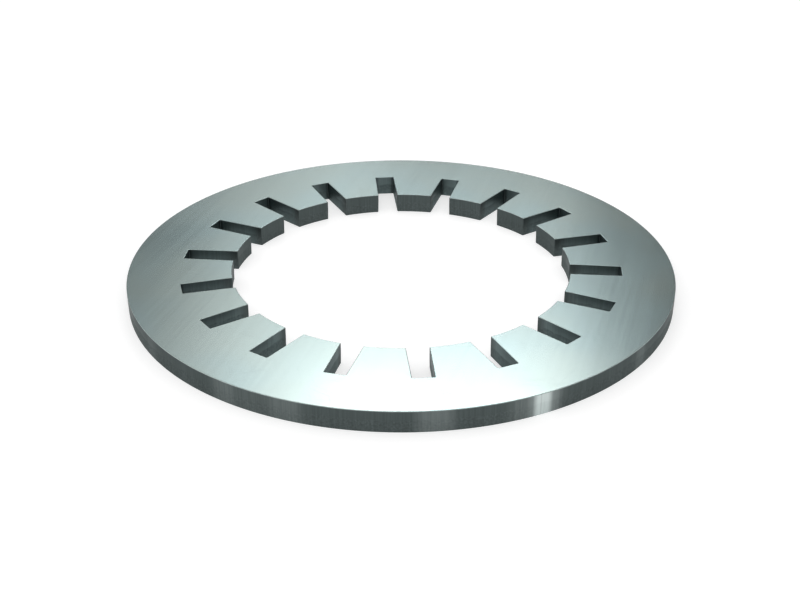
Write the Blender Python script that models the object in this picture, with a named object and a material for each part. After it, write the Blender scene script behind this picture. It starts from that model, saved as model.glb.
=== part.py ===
"""Internal tooth lock washer, stamped in one piece from spring steel strip.

It lies on its lower face. The origin is the centre of that face, and +Z is the bolt's axis.
Flat teeth stand round the bore with straight slots between them, and one tooth is centred on +X.
"""

import math

import bmesh
import bpy
from mathutils import Matrix, Vector

# Plate, in metres
OUTER_DIAMETER = 0.0440
PLATE_THICKNESS = 0.00168

# Teeth and the slots between them
TOOTH_COUNT = 18
BORE_DIAMETER = 0.0274  # the circle that the tooth tips lie on
RIM_WIDTH = 0.0042  # the closed ring between the slots' flat ends and the outer edge
SLOT_MOUTH_WIDTH = 0.00171  # at the tooth tips
SLOT_END_WIDTH = 0.00162

# The sheared wall: upright where the tool cut it, leaning in below that, where the steel tore
TORN_HEIGHT = 0.00095
TORN_LEAN = 0.00002

# Edges and corners, as the compound die and the tumbling barrel leave them
CORNER_RADIUS = 0.00006  # at the tooth tips and in the slots' ends
ROLLED_EDGE = 0.00005  # on the upper face, which the die draws down at its edges
BROKEN_EDGE = 0.000025  # on the lower face, where the burr was

# Facets on each curve
TIP_FACETS = 6
HALF_SLOT_FACETS = 2  # on the rim, from a slot's centre line to its side
CORNER_FACETS = 2
ROLLED_EDGE_FACETS = 2
BROKEN_EDGE_FACETS = 1

# Mesh limits
WELD_SHARE = 0.0003  # points closer than this share of the plate's thickness are one
SHARP_ANGLE = math.radians(60)  # edges that turn more than this are creases

# Bright steel with a cool grey cast
STEEL_FINISH = {"Base Color": (0.40, 0.46, 0.45, 1.0), "Metallic": 1.0, "Roughness": 0.28}

PITCH_ANGLE = 2 * math.pi / TOOTH_COUNT
BORE_RADIUS = BORE_DIAMETER / 2
OUTER_RADIUS = OUTER_DIAMETER / 2
WELD_DISTANCE = PLATE_THICKNESS * WELD_SHARE


def arc(radius, first_angle, last_angle, facets):
    """Points about the bolt's axis, both ends included."""
    step = (last_angle - first_angle) / facets
    angles = [first_angle + step * i for i in range(facets + 1)]
    return [Vector((radius * math.cos(angle), radius * math.sin(angle))) for angle in angles]


def straight(first, last, facets):
    """Points along a line, both ends included."""
    return [first.lerp(last, i / facets) for i in range(facets + 1)]


def slot_side():
    """The mouth, corner and centre of the slot at the tooth's +Y side, on the half next to the tooth."""
    half_mouth = SLOT_MOUTH_WIDTH / 2
    end_distance = OUTER_RADIUS - RIM_WIDTH
    # Drawn with the slot along X, then turned to where it lies
    mouth = Vector((math.sqrt(BORE_RADIUS**2 - half_mouth**2), -half_mouth))
    corner = Vector((end_distance, -SLOT_END_WIDTH / 2))
    centre = Vector((end_distance, 0))
    to_place = Matrix.Rotation(PITCH_ANGLE / 2, 2)
    return to_place @ mouth, to_place @ corner, to_place @ centre


def mirrored(points):
    """The same points across the tooth's centre line, in the opposite order."""
    return [Vector((point.x, -point.y)) for point in reversed(points)]


def add_strip(mesh, near, far):
    """Four-sided faces between two rows of points, the near row closer to the axis."""
    near, far = ([mesh.verts.new(point.to_3d()) for point in row] for row in (near, far))
    for i in range(len(near) - 1):
        mesh.faces.new((near[i], far[i], far[i + 1], near[i + 1]))


def add_tooth(mesh):
    """One tooth with its share of the rim, as flat faces."""
    mouth, corner, centre = slot_side()
    mouth_angle = math.atan2(mouth.y, mouth.x)
    corner_angle = math.atan2(corner.y, corner.x)
    tip = arc(BORE_RADIUS, -mouth_angle, mouth_angle, TIP_FACETS)
    root = arc(corner.length, -corner_angle, corner_angle, TIP_FACETS)
    half_end = straight(corner, centre, HALF_SLOT_FACETS)[1:]
    inner = mirrored(half_end) + root + half_end
    rim = arc(OUTER_RADIUS, -PITCH_ANGLE / 2, PITCH_ANGLE / 2, len(inner) - 1)
    add_strip(mesh, tip, root)
    add_strip(mesh, inner, rim)


def repeat_round_axis(mesh):
    bmesh.ops.spin(
        mesh,
        geom=mesh.faces[:],
        cent=Vector(),
        axis=Vector((0, 0, 1)),
        angle=PITCH_ANGLE * (TOOTH_COUNT - 1),
        steps=TOOTH_COUNT - 1,
        use_duplicate=True,
    )
    bmesh.ops.remove_doubles(mesh, verts=mesh.verts[:], dist=WELD_DISTANCE)


def raise_plate(mesh):
    """The plate down to where the torn part of its wall starts."""
    for vert in mesh.verts:
        vert.co.z = TORN_HEIGHT
    raised = bmesh.ops.extrude_face_region(mesh, geom=mesh.faces[:])["geom"]
    for item in raised:
        if isinstance(item, bmesh.types.BMVert):
            item.co.z = PLATE_THICKNESS
    bmesh.ops.recalc_face_normals(mesh, faces=mesh.faces[:])


def add_torn_wall(mesh):
    """The rest of the plate, drawn in all round on its way down to the lower face."""
    bmesh.ops.inset_region(
        mesh,
        faces=[face for face in mesh.faces if face.normal.z < -math.cos(SHARP_ANGLE)],
        thickness=TORN_LEAN,
        depth=TORN_HEIGHT,
        use_even_offset=True,
    )


def upright_corners(mesh):
    """Where a slot's side meets a tooth's tip or the slot's end."""
    return [
        edge
        for edge in mesh.edges
        if (edge.verts[0].co - edge.verts[1].co).xy.length < WELD_DISTANCE
        and edge.calc_face_angle() > SHARP_ANGLE
    ]


def outline_at(mesh, height):
    """The edges where the walls meet the flat face at this height."""
    return [
        edge
        for edge in mesh.edges
        if all(abs(vert.co.z - height) < WELD_DISTANCE for vert in edge.verts)
        and edge.calc_face_angle() > SHARP_ANGLE
    ]


def round_off(mesh, edges, radius, facets):
    bmesh.ops.bevel(
        mesh,
        geom=edges,
        offset=radius,
        offset_type="OFFSET",
        segments=facets,
        profile=0.5,
        affect="EDGES",
    )


def washer_mesh():
    mesh = bmesh.new()
    add_tooth(mesh)
    repeat_round_axis(mesh)
    raise_plate(mesh)
    round_off(mesh, upright_corners(mesh), CORNER_RADIUS, CORNER_FACETS)
    add_torn_wall(mesh)
    round_off(mesh, outline_at(mesh, PLATE_THICKNESS), ROLLED_EDGE, ROLLED_EDGE_FACETS)
    round_off(mesh, outline_at(mesh, 0), BROKEN_EDGE, BROKEN_EDGE_FACETS)
    data = bpy.data.meshes.new("lock_washer")
    mesh.to_mesh(data)
    mesh.free()
    data.shade_smooth()
    data.set_sharp_from_angle(angle=SHARP_ANGLE)
    return data


def steel():
    material = bpy.data.materials.new("spring_steel")
    material.use_nodes = True
    shader = material.node_tree.nodes["Principled BSDF"]
    for name, value in STEEL_FINISH.items():
        shader.inputs[name].default_value = value
    return material


def clear_scene():
    for item in list(bpy.data.objects):
        bpy.data.objects.remove(item)


def main():
    clear_scene()
    data = washer_mesh()
    data.materials.append(steel())
    washer = bpy.data.objects.new("lock_washer", data)
    bpy.context.scene.collection.objects.link(washer)


main()
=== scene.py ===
import math

import bpy
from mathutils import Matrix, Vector


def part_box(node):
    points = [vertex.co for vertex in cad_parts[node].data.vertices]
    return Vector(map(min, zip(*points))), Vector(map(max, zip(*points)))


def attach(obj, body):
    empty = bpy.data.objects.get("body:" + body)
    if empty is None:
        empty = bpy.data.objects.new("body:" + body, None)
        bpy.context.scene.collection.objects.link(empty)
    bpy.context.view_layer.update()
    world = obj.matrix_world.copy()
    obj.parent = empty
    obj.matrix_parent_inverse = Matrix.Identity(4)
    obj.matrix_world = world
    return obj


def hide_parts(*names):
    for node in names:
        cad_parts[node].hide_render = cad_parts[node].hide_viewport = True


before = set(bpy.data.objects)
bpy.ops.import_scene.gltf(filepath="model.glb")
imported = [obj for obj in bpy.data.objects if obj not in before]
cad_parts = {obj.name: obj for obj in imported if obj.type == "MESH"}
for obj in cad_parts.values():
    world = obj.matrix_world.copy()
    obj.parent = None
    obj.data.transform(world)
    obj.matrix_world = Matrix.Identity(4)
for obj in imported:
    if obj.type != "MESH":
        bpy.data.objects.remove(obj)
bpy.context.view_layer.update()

# Sizes are in metres and angles in degrees, unless a name says otherwise.
boxLow, boxHigh = (Vector(corner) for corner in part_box("lock_washer"))


class Wire:
    # wraps one socket: sums and products of wires add Math nodes to their tree
    def __init__(self, tree, socket=None):
        self.tree = tree
        self.socket = socket

    def node(self, kind, settings=None, sockets=None, out=0):
        made = self.tree.nodes.new(kind)
        for name, value in (settings or {}).items():
            setattr(made, name, value)
        for key, value in (sockets or {}).items():
            self.feed(made.inputs[key], value)
        return Wire(self.tree, made.outputs[out] if len(made.outputs) else None)

    def feed(self, target, value):
        if isinstance(value, Wire):
            self.tree.links.new(value.socket, target)
        else:
            target.default_value = value

    def other(self, out):
        # another output of the same node
        return Wire(self.tree, self.socket.node.outputs[out])

    def math(self, operation, *values):
        return self.node("ShaderNodeMath", {"operation": operation}, dict(enumerate(values)))

    def vector(self, operation, *values, **named):
        sockets = {**dict(enumerate(values)), **named}
        return self.node("ShaderNodeVectorMath", {"operation": operation}, sockets)

    def __add__(self, other):
        return self.math("ADD", self, other)

    def __radd__(self, other):
        return self.math("ADD", other, self)

    def __sub__(self, other):
        return self.math("SUBTRACT", self, other)

    def __rsub__(self, other):
        return self.math("SUBTRACT", other, self)

    def __mul__(self, other):
        return self.math("MULTIPLY", self, other)

    def __rmul__(self, other):
        return self.math("MULTIPLY", other, self)

    def __truediv__(self, other):
        return self.math("DIVIDE", self, other)

    def __rtruediv__(self, other):
        return self.math("DIVIDE", other, self)

    def __gt__(self, other):
        return self.math("GREATER_THAN", self, other)

    def __lt__(self, other):
        return self.math("LESS_THAN", self, other)

    def between(self, low, high):
        # 0 below low, 1 above high, and a smooth climb from one to the other
        settings = {"interpolation_type": "SMOOTHSTEP"}
        sockets = {"Value": self, "From Min": low, "From Max": high}
        return self.node("ShaderNodeMapRange", settings, sockets)

    def blend(self, low, high):
        # a colour, from low where this wire is 0 to high where it is 1
        sockets = {"Factor": self, "A": low, "B": high}
        return self.node("ShaderNodeMix", {"data_type": "RGBA"}, sockets, out="Result")

    def tinted(self, amount, colour):
        # this wire is a colour, multiplied by another as far as amount says
        settings = {"data_type": "RGBA", "blend_type": "MULTIPLY"}
        sockets = {"Factor": amount, "A": self, "B": colour}
        return self.node("ShaderNodeMix", settings, sockets, out="Result")


# The washer: a filled outline, raised through rows that draw it in at the edges
washer = {
    "outerDiameter": boxHigh.x - boxLow.x,
    "thickness": boxHigh.z - boxLow.z,
    "toothCount": 18,
    "boreDiameter": 0.0274,      # across the tooth tips
    "rimWidth": 0.0042,          # closed ring outside the slots
    "slotMouthWidth": 0.00171,
    "slotEndWidth": 0.00162,
    "tornHeight": 0.00095,       # lower part of the wall, torn by the press
    "tornLean": 0.00002,
    "cornerRadius": 0.00006,
    "rolledEdge": 0.00005,       # upper edges
    "brokenEdge": 0.000025,      # lower edges
    "tipFacets": 12,
    "rimFacets": 360,
    "cornerFacets": 6,
}
edgeRows = 5                     # rows of faces round each edge of the wall
weldDistance = 0.0000002
creaseAngle = 1                  # edges of the flat faces that turn more than this stay sharp


def washerTree():
    tree = bpy.data.node_groups.new("washerTree", "GeometryNodeTree")
    tree.is_modifier = True
    tree.interface.new_socket("Geometry", in_out="INPUT", socket_type="NodeSocketGeometry")
    tree.interface.new_socket("Geometry", in_out="OUTPUT", socket_type="NodeSocketGeometry")
    for name, value in washer.items():
        kind = "NodeSocketInt" if isinstance(value, int) else "NodeSocketFloat"
        tree.interface.new_socket(name, in_out="INPUT", socket_type=kind)
    tree.interface.new_socket("finish", in_out="INPUT", socket_type="NodeSocketMaterial")
    start = Wire(tree)
    given = start.node("NodeGroupInput")
    size = {name: given.other(name) for name in washer}
    outline = toothedOutline(start, size)
    rim = start.node(
        "GeometryNodeCurvePrimitiveCircle",
        sockets={"Resolution": size["rimFacets"], "Radius": size["outerDiameter"] / 2},
    )
    curves = joined(start, outline, rim)
    plate = start.node("GeometryNodeFillCurve", sockets={"Curve": curves})
    solid = raised(start, size, plate)
    shaped = drawnIn(start, size, solid)
    real = start.node("GeometryNodeRealizeInstances", sockets={"Geometry": shaped})
    done = start.node(
        "GeometryNodeSetMaterial", sockets={"Geometry": real, "Material": given.other("finish")}
    )
    start.node("NodeGroupOutput", sockets={"Geometry": done})
    return tree


def joined(start, *parts):
    join = start.node("GeometryNodeJoinGeometry")
    for part in parts:
        start.tree.links.new(part.socket, join.socket.node.inputs[0])
    return join


def toothedOutline(start, size):
    # Points go round the bore. Each tooth has both ends of its roots and a row along its tip.
    pitch = 2 * math.pi / size["toothCount"]
    boreRadius = size["boreDiameter"] / 2
    endDistance = size["outerDiameter"] / 2 - size["rimWidth"]
    endHalf = size["slotEndWidth"] / 2
    mouthHalfAngle = start.math("ARCSINE", size["slotMouthWidth"] / 2 / boreRadius)
    rootHalfAngle = pitch / 2 - start.math("ARCTAN2", endHalf, endDistance)
    tipHalfAngle = pitch / 2 - mouthHalfAngle
    rootRadius = start.math("SQRT", endDistance * endDistance + endHalf * endHalf)

    lastPoint = size["tipFacets"] + 2
    pointsEach = lastPoint + 1
    index = start.node("GeometryNodeInputIndex")
    tooth = start.math("FLOOR", (index + 0.5) / pointsEach)
    along = (index - tooth * pointsEach) - lastPoint / 2       # from minus to plus half of lastPoint
    fromMiddle = start.math("ABSOLUTE", along)
    isRoot = fromMiddle > lastPoint / 2 - 0.5
    isCorner = fromMiddle > lastPoint / 2 - 1.5
    side = start.math("SIGN", along)

    tipAngle = tipHalfAngle * along / (lastPoint / 2 - 1)
    angle = tooth * pitch + tipAngle + isRoot * (side * rootHalfAngle - tipAngle)
    radius = boreRadius + isRoot * (rootRadius - boreRadius)
    place = start.node(
        "ShaderNodeCombineXYZ",
        sockets={0: radius * start.math("COSINE", angle), 1: radius * start.math("SINE", angle)},
    )
    ring = start.node(
        "GeometryNodeCurvePrimitiveCircle", sockets={"Resolution": size["toothCount"] * pointsEach}
    )
    outline = start.node("GeometryNodeSetPosition", sockets={"Geometry": ring, "Position": place})
    return start.node(
        "GeometryNodeFilletCurve",
        {"mode": "POLY"},
        {"Curve": outline, "Count": size["cornerFacets"], "Radius": isCorner * size["cornerRadius"]},
    )


def rowHeights(size):
    # heights of the wall's rows, from the lower face up
    quarterTurns = [math.pi / 2 * (i + 1) / edgeRows for i in range(edgeRows)]
    rollStart = size["thickness"] - size["rolledEdge"]
    heights = [size["brokenEdge"] * (1 - math.cos(turn)) for turn in quarterTurns]
    heights += [size["tornHeight"], rollStart]
    heights += [rollStart + size["rolledEdge"] * math.sin(turn) for turn in quarterTurns]
    return heights


def raised(start, size, plate):
    solid, top, height = plate, True, 0
    for nextHeight in rowHeights(size):
        lift = start.node("ShaderNodeCombineXYZ", sockets={2: nextHeight - height})
        sockets = {
            "Mesh": solid,
            "Selection": top,
            "Offset": lift,
            "Offset Scale": 1,
            "Individual": False,
        }
        solid = start.node("GeometryNodeExtrudeMesh", sockets=sockets)
        top, height = solid.other("Top"), nextHeight
    under = start.node("GeometryNodeFlipFaces", sockets={"Mesh": plate})
    shell = joined(start, solid, under)
    sockets = {"Geometry": shell, "Distance": weldDistance}
    return start.node("GeometryNodeMergeByDistance", sockets=sockets)


def drawnIn(start, size, solid):
    # Every point lies on an outline, and moves square to it by what its height calls for
    position = start.node("GeometryNodeInputPosition")
    height = start.node("ShaderNodeSeparateXYZ", sockets={0: position}).other("Z")
    rolled, broken = size["rolledEdge"], size["brokenEdge"]
    intoRoll = start.math("MAXIMUM", height - (size["thickness"] - rolled), 0) / rolled
    intoBreak = start.math("MAXIMUM", broken - height, 0) / broken
    belowTear = start.math("MAXIMUM", size["tornHeight"] - height, 0) / size["tornHeight"]
    rollShare = start.math("SQRT", start.math("MAXIMUM", 1 - intoRoll * intoRoll, 0))
    breakShare = start.math("SQRT", start.math("MAXIMUM", 1 - intoBreak * intoBreak, 0))
    inset = rolled * (1 - rollShare) + broken * (1 - breakShare) + size["tornLean"] * belowTear
    level = start.vector("MULTIPLY", start.node("GeometryNodeInputNormal"), (1, 1, 0))
    shift = start.vector("SCALE", start.vector("NORMALIZE", level), Scale=inset * -1)
    drawn = start.node("GeometryNodeSetPosition", sockets={"Geometry": solid, "Offset": shift})
    marked = start.node(
        "GeometryNodeStoreNamedAttribute",
        {"data_type": "FLOAT", "domain": "POINT"},
        {"Geometry": drawn, "Name": "wall", "Value": rollShare * breakShare},
    )
    smooth = start.node("GeometryNodeSetShadeSmooth", {"domain": "FACE"}, {"Geometry": marked})
    # the flat faces keep their own shading up to their edges
    fromFace = start.math("MINIMUM", height, size["thickness"] - height)
    turn = start.node("GeometryNodeInputMeshEdgeAngle")
    crease = (fromFace < weldDistance) * (turn > math.radians(creaseAngle))
    return start.node(
        "GeometryNodeSetShadeSmooth",
        {"domain": "EDGE"},
        {"Geometry": smooth, "Selection": crease, "Shade Smooth": False},
    )


def buildWasher(finish):
    tree = washerTree()
    source = bpy.data.objects.new("washerSource", bpy.data.meshes.new("washerSource"))
    bpy.context.scene.collection.objects.link(source)
    modifier = source.modifiers.new("washer", "NODES")
    modifier.node_group = tree
    for item in tree.interface.items_tree:
        if item.in_out == "INPUT" and item.name in washer:
            modifier[item.identifier] = washer[item.name]
        elif item.name == "finish":
            modifier[item.identifier] = finish
    evenShading = source.modifiers.new("evenShading", "WEIGHTED_NORMAL")
    evenShading.keep_sharp = True
    evaluated = source.evaluated_get(bpy.context.evaluated_depsgraph_get())
    mesh = bpy.data.meshes.new_from_object(evaluated)
    mesh.name = "springWasher"
    bpy.data.objects.remove(source)
    piece = bpy.data.objects.new("springWasher", mesh)
    bpy.context.scene.collection.objects.link(piece)
    return piece


# The steel: satin rolled faces with marks of the tumbling barrel, and darker walls, deepened with
# painted shade, that the press sheared in their upper part and tore in their lower part; painted
# reflection and highlights lighten parts of them
steel = {
    "faceColour": (0.395, 0.482, 0.475, 1),
    "warmTint": (0.995, 0.975, 0.955, 1),    # where tempering coloured the faces a little
    "coolTint": (0.945, 0.98, 1.0, 1),
    "landColour": (0.080, 0.098, 0.097, 1),  # smooth upper part of the walls, darkened with painted shade
    # rough lower part of the walls: painted shade darkens it, and a painted reflection of the floor
    # keeps it a little lighter than the upper part
    "tornColour": (0.107, 0.130, 0.129, 1),
    "slotReflectionColour": (0.147, 0.193, 0.194, 1),  # walls in the slots, lighter with a painted reflection of the floor
    "cornerShadeTint": (0.5, 0.5, 0.5, 1),        # painted shade in the slots' corners
    "edgeColour": (0.42, 0.49, 0.48, 1),     # worn bright in the barrel
    "edgeWear": (0.35, 0.85),                # least and most
    "rimHighlightColour": (0.57, 0.635, 0.625, 1),
    "glancingTint": (0.7, 0.72, 0.72, 1),
    "faceRoughness": 0.213,
    "landRoughness": 0.42,
    "tornRoughness": 0.55,
    # how far round an edge from the face to the wall, 0 to 1, each of these starts and is full
    "wallBand": (0.6, 0.97),
    "edgeBand": (0.1, 0.5),
    "edgeEndBand": (0.9, 1.0),
    "sweepSize": 0.0035,                     # slow changes in the walls' roughness
    "sweepRoughness": 0.2,
    "tintSize": 0.011,
    "cloudSize": 0.007,
    "cloudRoughness": 0.07,
    "waveSize": 0.004,
    "waveDepth": 0.0000004,
    "wearSize": 0.0012,
    "grainTurn": 68,                         # rolling lines, in degrees from X
    "grainPitch": 0.0003,
    "grainLength": 0.014,
    "grainDepth": 0.00000008,
    "grainTint": (0.7, 0.7, 0.7, 1),
    "grainShade": 0.12,
    "grainRoughness": 0.04,
    "scratchTurns": (12, 51, 97, 139, 171),
    "scratchWidth": 0.00006,
    "scratchLength": 0.006,
    "scratchApart": (0.05, 0.03, 0),         # moves each direction's lines off the one before
    "scratchBreak": 0.0022,                  # stretches with and without scratches
    "scratchDepth": 0.0000002,
    "scratchShade": 0.2,
    "scratchRoughness": 0.03,
    "dentSpacing": 0.0024,
    "dentRadius": 0.0001,
    "dentDepth": 0.0000012,
    "dentShade": 0.25,
    "dentFewness": 0.7,                      # share of places without a dent
    "markTint": (0.6, 0.6, 0.6, 1),          # in scratches and dents
    "wallStretch": (1, 1, 0.03),             # draws a pattern out down the walls
    "scorePitch": 0.00013,                   # lines that the die scored down the walls
    "scoreDepth": 0.000003,
    "scoreTint": (0.83, 0.83, 0.83, 1),
    "tearSize": 0.00016,
    "tearDepth": 0.000012,
    "tearTint": (0.72, 0.72, 0.72, 1),
    "tearWander": 0.00022,                   # up and down from the height where tearing began
    "tearWanderSize": 0.0009,
    "tearWanderStretch": (1, 1, 0.3),
    "tearBlur": 0.00004,
    # noise values at which each of these starts and is full
    "tintBand": (0.35, 0.65),
    "grainBand": (0.3, 0.7),
    "scratchBand": (0.72, 0.8),
    "breakBand": (0.35, 0.6),
    "scoreBand": (0.3, 0.75),
    "tearBand": (0.3, 0.7),
    "wearBand": (0.35, 0.65),
    "highlightScoreBand": (0.3, 0.55),
    # painted highlights on the rim's wall: degrees round the bolt's axis, half width, how bright
    "paintedHighlights": ((209, 2.5, 0.05), (231, 3.0, 0.07), (238, 12.0, 0.05), (244, 4.0, 0.06), (271, 4.5, 0.125),
             (291.0, 2.2, 0.71), (291.3, 4.0, 0.17), (290, 7.0, 0.14), (317, 2.2, 0.09), (18, 3.5, 0.1),
             (61, 2.2, 0.3), (61, 5.0, 0.12), (104, 5.0, 0.08), (152, 2.4, 0.15), (191, 3.0, 0.08)),
    "highlightCore": 0.25,                         # share of the half width that is fully bright
    "highlightScoring": 0.2,                       # how far the score lines show in a painted highlight
    "rimReach": 0.0005,                      # a painted highlight lies this close to the outer edge
    "mouthStart": 0.0001,                    # the slots' painted lighter colour comes in outside the tooth tips
    "mouthFull": 0.0012,
    "endFull": 0.0005,                       # and goes out beyond the slots' ends
    "endGone": 0.001,
    "cornerDark": 0.00006,
    "cornerReach": 0.0003,
}


def noise(place, size, detail=2.0, roughness=0.5):
    # fractal noise with features of this size, about 0 to 1
    sockets = {"Vector": place, "Scale": 1 / size, "Detail": detail, "Roughness": roughness}
    return place.node("ShaderNodeTexNoise", sockets=sockets)


def streaks(place, turn, width, length, detail=2.0):
    # noise drawn out along a line in the plate's plane
    settings = {"vector_type": "TEXTURE"}
    sockets = {"Vector": place, "Rotation": (0, 0, math.radians(turn)), "Scale": (length, width, width)}
    along = place.node("ShaderNodeMapping", settings, sockets)
    return along.node("ShaderNodeTexNoise", sockets={"Vector": along, "Scale": 1, "Detail": detail})


def springSteel():
    material = bpy.data.materials.new("springSteel")
    material.use_nodes = True
    tree = material.node_tree
    shader = tree.nodes["Principled BSDF"]
    start = Wire(tree)
    place = start.node("ShaderNodeTexCoord", out="Object")
    height = start.node("ShaderNodeSeparateXYZ", sockets={0: place}).other("Z")
    upright = start.node("ShaderNodeAttribute", {"attribute_name": "wall"}, out="Fac")
    wall = upright.between(*steel["wallBand"])
    edge = upright.between(*steel["edgeBand"]) * (1 - upright.between(*steel["edgeEndBand"]))

    # faces
    grain = streaks(place, steel["grainTurn"], steel["grainPitch"], steel["grainLength"])
    cloud = noise(place, steel["cloudSize"], detail=3)
    tint = noise(place, steel["tintSize"])
    wave = noise(place, steel["waveSize"])
    scratches = barrelScratches(place)
    dents = barrelDents(place)
    faceColour = tint.between(*steel["tintBand"]).blend(steel["warmTint"], steel["coolTint"])
    faceColour = faceColour.tinted(1.0, steel["faceColour"])
    grainGaps = 1 - grain.between(*steel["grainBand"])
    faceColour = faceColour.tinted(grainGaps * steel["grainShade"], steel["grainTint"])
    faceColour = faceColour.tinted(scratches * steel["scratchShade"], steel["markTint"])
    faceColour = faceColour.tinted(dents * steel["dentShade"], steel["markTint"])
    faceRoughness = (
        steel["faceRoughness"]
        + (cloud - 0.5) * steel["cloudRoughness"]
        + (grain - 0.5) * steel["grainRoughness"]
        + scratches * steel["scratchRoughness"]
    )
    faceHeight = (
        grain * steel["grainDepth"]
        - scratches * steel["scratchDepth"]
        - dents * steel["dentDepth"]
        + wave * steel["waveDepth"]
    )

    # walls
    tall = place.vector("MULTIPLY", place, steel["wallStretch"])
    score = noise(tall, steel["scorePitch"], detail=3)
    sweep = noise(tall, steel["sweepSize"], detail=1)
    wanderPlace = place.vector("MULTIPLY", place, steel["tearWanderStretch"])
    wander = noise(wanderPlace, steel["tearWanderSize"], detail=3)
    tear = noise(place, steel["tearSize"], detail=4, roughness=0.6)
    tearLine = washer["tornHeight"] + (wander - 0.5) * (2 * steel["tearWander"])
    torn = 1 - (height - tearLine).between(-steel["tearBlur"], steel["tearBlur"])
    inSlot = slotPart(place)
    # painted shade darkens the walls, and a painted reflection of the floor lightens their lower part
    wallColour = torn.blend(steel["landColour"], steel["tornColour"])
    # painted reflection: the walls in the slots are lighter
    wallColour = inSlot.blend(wallColour, steel["slotReflectionColour"])
    # painted shade darkens the slots' corners
    wallColour = wallColour.tinted(slotCornerShade(place), steel["cornerShadeTint"])
    wallColour = wallColour.tinted(1 - score.between(*steel["scoreBand"]), steel["scoreTint"])
    wallColour = wallColour.tinted(torn * (1 - tear.between(*steel["tearBand"])), steel["tearTint"])
    scoring = 1 - steel["highlightScoring"] + steel["highlightScoring"] * score.between(*steel["highlightScoreBand"])
    # painted highlights: soft bright bands on the rim's wall
    wallColour = (rimPaintedHighlights(place) * scoring).blend(wallColour, steel["rimHighlightColour"])
    wallRoughness = steel["landRoughness"] + torn * (steel["tornRoughness"] - steel["landRoughness"])
    wallRoughness = wallRoughness + (sweep - 0.5) * steel["sweepRoughness"]
    wallHeight = score * steel["scoreDepth"] * (1 - torn) + tear * steel["tearDepth"] * torn

    # both, and the worn edges between them
    leastWear, mostWear = steel["edgeWear"]
    patchy = noise(place, steel["wearSize"], detail=3).between(*steel["wearBand"])
    worn = edge * (1 - inSlot) * (leastWear + (mostWear - leastWear) * patchy)
    colour = worn.blend(wall.blend(faceColour, wallColour), steel["edgeColour"])
    roughness = faceRoughness + wall * (wallRoughness - faceRoughness)
    bumps = faceHeight * (1 - wall) + wallHeight * wall
    bump = start.node("ShaderNodeBump", sockets={"Strength": 1.0, "Distance": 1.0, "Height": bumps})
    start.feed(shader.inputs["Base Color"], colour)
    start.feed(shader.inputs["Roughness"], roughness)
    start.feed(shader.inputs["Normal"], bump)
    shader.inputs["Metallic"].default_value = 1
    shader.inputs["Specular Tint"].default_value = steel["glancingTint"]
    return material


def fromAxis(place):
    return place.vector("LENGTH", place.vector("MULTIPLY", place, (1, 1, 0))).other("Value")


def slotPart(place):
    # 0 at the tooth tips and on the rim, 1 well inside a slot
    mouth = washer["boreDiameter"] / 2
    end = washer["outerDiameter"] / 2 - washer["rimWidth"]
    radius = fromAxis(place)
    pastMouth = radius.between(mouth + steel["mouthStart"], mouth + steel["mouthFull"])
    pastEnd = radius.between(end + steel["endFull"], end + steel["endGone"])
    return pastMouth * (1 - pastEnd)


def slotCornerShade(place):
    # 1 in the two corners at each slot's end, where shade is painted, and 0 away from them
    parts = place.node("ShaderNodeSeparateXYZ", sockets={0: place})
    pitch = 2 * math.pi / washer["toothCount"]
    turned = place.math("WRAP", place.math("ARCTAN2", parts.other("Y"), parts.other("X")), pitch, 0)
    fromSlot = place.math("ABSOLUTE", turned - pitch / 2)
    radius = fromAxis(place)
    along = radius * place.math("COSINE", fromSlot) - (washer["outerDiameter"] / 2 - washer["rimWidth"])
    across = radius * place.math("SINE", fromSlot) - washer["slotEndWidth"] / 2
    apart = place.math("SQRT", along * along + across * across)
    return 1 - apart.between(steel["cornerDark"], steel["cornerReach"])


def rimPaintedHighlights(place):
    # 0 to 1: soft upright bands of painted highlight on the outer wall
    level = place.vector("MULTIPLY", place, (1, 1, 0))
    onRim = fromAxis(place) > washer["outerDiameter"] / 2 - steel["rimReach"]
    outward = place.vector("NORMALIZE", level)
    total = 0
    for angle, halfWidth, amount in steel["paintedHighlights"]:
        turn = math.radians(angle)
        middle = (math.cos(turn), math.sin(turn), 0)
        facing = place.vector("DOT_PRODUCT", outward, middle).other("Value")
        ends = (math.cos(math.radians(share * halfWidth)) for share in (1, steel["highlightCore"]))
        total = facing.between(*ends) * amount + total
    return total * onRim


def barrelScratches(place):
    # short fine lines in several directions, broken up so that none runs across the washer
    broken = noise(place, steel["scratchBreak"], detail=1)
    total = None
    for i, turn in enumerate(steel["scratchTurns"]):
        apart = place.vector("ADD", place, tuple(step * i for step in steel["scratchApart"]))
        line = streaks(apart, turn, steel["scratchWidth"], steel["scratchLength"], detail=0)
        marks = line.between(*steel["scratchBand"])
        total = marks if total is None else place.math("MAXIMUM", total, marks)
    return total * broken.between(*steel["breakBand"])


def barrelDents(place):
    # small round dents in some cells of a scattered grid
    sockets = {"Vector": place, "Scale": 1 / steel["dentSpacing"]}
    cell = place.node("ShaderNodeTexVoronoi", sockets=sockets)
    nearness = 1 - cell.between(0, steel["dentRadius"] / steel["dentSpacing"])
    chosen = place.node("ShaderNodeSeparateColor", sockets={0: cell.other("Color")}).other("Red")
    return nearness * (chosen > steel["dentFewness"])


# The floor, pale under plain light
floor = {
    "size": 60.0,
    "colour": (0.62, 0.62, 0.62, 1),
    "glow": 0.57,                 # seen by the camera, by metal and through glass
    "nearPart": 0.5,              # beyond this far from the washer the floor turns plain white
    "farPart": 2.5,
}


def seenRays(start):
    # 1 for the camera, for metal and through glass, and 0 where a surface only gathers light
    rays = start.node("ShaderNodeLightPath", out="Is Camera Ray")
    seen = start.math("MAXIMUM", rays, rays.other("Is Glossy Ray"))
    return start.math("MAXIMUM", seen, rays.other("Is Transmission Ray"))


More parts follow.
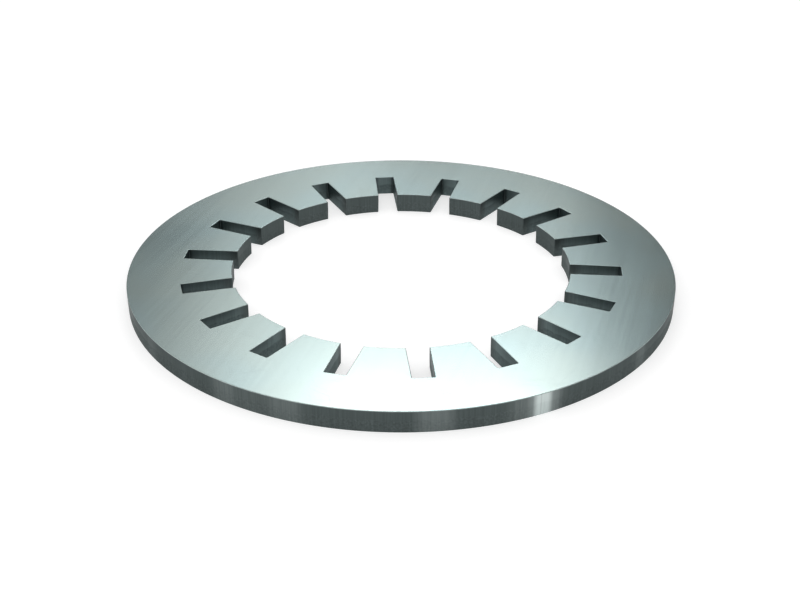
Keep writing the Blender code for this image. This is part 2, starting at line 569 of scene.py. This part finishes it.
def paleFloor():
    material = bpy.data.materials.new("paleFloor")
    material.use_nodes = True
    tree = material.node_tree
    tree.nodes.clear()
    start = Wire(tree)
    lit = start.node("ShaderNodeBsdfDiffuse", sockets={"Color": floor["colour"]})
    seen = seenRays(start)
    glow = start.node("ShaderNodeEmission", sockets={"Strength": seen * floor["glow"]})
    near = start.node("ShaderNodeAddShader", sockets={0: lit, 1: glow})
    white = start.node("ShaderNodeEmission", sockets={"Strength": 1.0})
    place = start.node("ShaderNodeTexCoord", out="Object")
    away = start.vector("LENGTH", place).other("Value")
    far = seen * away.between(floor["nearPart"], floor["farPart"])
    both = start.node("ShaderNodeMixShader", sockets={0: far, 1: near, 2: white})
    start.node("ShaderNodeOutputMaterial", sockets={"Surface": both})
    return material


def buildFloor():
    half = floor["size"] / 2
    mesh = bpy.data.meshes.new("floor")
    corners = [(-half, -half), (half, -half), (half, half), (-half, half)]
    mesh.from_pydata([(x, y, boxLow.z) for x, y in corners], [], [(0, 1, 2, 3)])
    mesh.materials.append(paleFloor())
    plane = bpy.data.objects.new("floor", mesh)
    bpy.context.scene.collection.objects.link(plane)


# Camera, found by fitting the washer's corners to the photo's 800 by 600 frame
camera = {
    "azimuth": -5.04,
    "elevation": 26.72,
    "distance": 0.10283,         # to the centre of the upper face
    "aimNearer": 0.00646,        # on that face, towards the camera
    "aimLeft": 0.00008,
    "lens": 56.74,
    "sensor": 36.0,
    "clipStart": 0.001,
}


def direction(azimuth, elevation):
    # azimuth 0 stands at -Y
    turn, lift = math.radians(azimuth), math.radians(elevation)
    return Vector((math.sin(turn) * math.cos(lift), -math.cos(turn) * math.cos(lift), math.sin(lift)))


def aimed(item, target):
    item.rotation_euler = (target - item.location).to_track_quat("-Z", "Y").to_euler()


def placeCamera():
    data = bpy.data.cameras.new("camera")
    data.lens = camera["lens"]
    data.sensor_width = camera["sensor"]
    data.clip_start = camera["clipStart"]
    item = bpy.data.objects.new("camera", data)
    bpy.context.scene.collection.objects.link(item)
    centre = Vector((0, 0, boxHigh.z))
    item.location = centre + direction(camera["azimuth"], camera["elevation"]) * camera["distance"]
    left = direction(camera["azimuth"] - 90, 0)
    near = direction(camera["azimuth"], 0)
    aimed(item, centre + near * camera["aimNearer"] + left * camera["aimLeft"])
    bpy.context.scene.camera = item


# Softboxes, seen far off: azimuths count from the camera's own, wide and tall are angles, and glow
# is the brightness that the metal mirrors
softboxes = {
    "backCore": {"azimuth": 177.7, "elevation": 36.4, "wide": 13, "tall": 8, "glow": 4.4},
    "backPanel": {"azimuth": 180.2, "elevation": 41.5, "wide": 17.4, "tall": 40, "glow": 0.92},
    "backStrip": {"azimuth": 182.9, "elevation": 20.8, "wide": 3.6, "tall": 9, "glow": 0.63},
    "leftShoulder": {"azimuth": 191.5, "elevation": 34.8, "wide": 9, "tall": 12, "glow": 0.61},
    "overheadPanel": {"azimuth": 0, "elevation": 90, "wide": 46, "tall": 46, "glow": 0.55},
}
softboxEdge = 1.5                # degrees, on either side of the edge
leastAhead = 0.01                # keeps what lies beside or behind a softbox far out of it


def softboxLight(outward, box):
    # brightness of one softbox for a direction that looks out from the washer
    centre = direction(camera["azimuth"] + box["azimuth"], box["elevation"])
    right = direction(camera["azimuth"] + box["azimuth"] + 90, 0)
    axes = {name: outward.vector("DOT_PRODUCT", outward, tuple(axis)).other("Value")
            for name, axis in (("ahead", centre), ("wide", right), ("tall", centre.cross(right)))}
    ahead = outward.math("MAXIMUM", axes["ahead"], leastAhead)
    light = box["glow"]
    for side in ("wide", "tall"):
        apart = outward.math("ABSOLUTE", axes[side] / ahead)
        edges = (box[side] / 2 - softboxEdge, box[side] / 2 + softboxEdge)
        inner, outer = (math.tan(math.radians(edge)) for edge in edges)
        light = (1 - apart.between(inner, outer)) * light
    return light


# The room: pale walls that grow lighter upwards, a darker one round the back softboxes, and white
# along the horizon for the camera and for what mirrors it
room = {
    "wallFoot": 0.45,
    "wallTop": 1.02,
    "footHeight": 12,            # degrees up
    "topHeight": 34,
    "ceiling": 0.42,
    "coveHeight": 48,            # where the wall starts to turn into the ceiling
    "ceilingHeight": 66,
    "leftward": 0.18,            # the wall on the left is lighter by this share, the right one darker
    "backWall": 0.205,
    "backHeight": 30,
    "backInner": 20,             # degrees round its middle
    "backOuter": 38,
    "horizonFoot": 3,            # degrees up, where the white starts to fade
    "horizonTop": 13,
}


def lightRoom():
    world = bpy.data.worlds.new("studio")
    world.use_nodes = True
    start = Wire(world.node_tree)
    outward = start.node("ShaderNodeTexCoord")
    up = start.node("ShaderNodeSeparateXYZ", sockets={0: outward}).other("Z")
    heights = ("footHeight", "topHeight", "coveHeight", "ceilingHeight", "horizonFoot", "horizonTop")
    sine = {name: math.sin(math.radians(room[name])) for name in heights}
    cosine = {name: math.cos(math.radians(room[name])) for name in ("backInner", "backOuter")}
    left = direction(camera["azimuth"] - 90, 0)
    back = direction(camera["azimuth"] + 180, room["backHeight"])
    leftness = start.vector("DOT_PRODUCT", outward, tuple(left)).other("Value")
    backness = start.vector("DOT_PRODUCT", outward, tuple(back)).other("Value")
    climb = up.between(sine["footHeight"], sine["topHeight"])
    wall = room["wallFoot"] + climb * (room["wallTop"] - room["wallFoot"])
    wall = wall * (1 + leftness * room["leftward"])
    wall = wall + up.between(sine["coveHeight"], sine["ceilingHeight"]) * (room["ceiling"] - wall)
    isBack = backness.between(cosine["backOuter"], cosine["backInner"])
    total = wall + isBack * (room["backWall"] - wall)
    for box in softboxes.values():
        total = total + softboxLight(outward, box)
    light = start.node("ShaderNodeCombineXYZ", sockets={0: total, 1: total, 2: total})
    rays = start.node("ShaderNodeLightPath", out="Is Camera Ray")
    horizon = seenRays(start) * (1 - up.between(sine["horizonFoot"], sine["horizonTop"]))
    white = start.math("MAXIMUM", rays, horizon)
    background = world.node_tree.nodes["Background"]
    start.feed(background.inputs["Color"], white.blend(light, (1, 1, 1, 1)))
    bpy.context.scene.world = world
    bpy.context.scene.view_settings.view_transform = "Standard"


placeCamera()
print("camera placed")
piece = buildWasher(springSteel())
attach(piece, "root")
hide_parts("lock_washer")
print("washer built:", len(piece.data.polygons), "faces")
buildFloor()
lightRoom()
print("floor and light set")
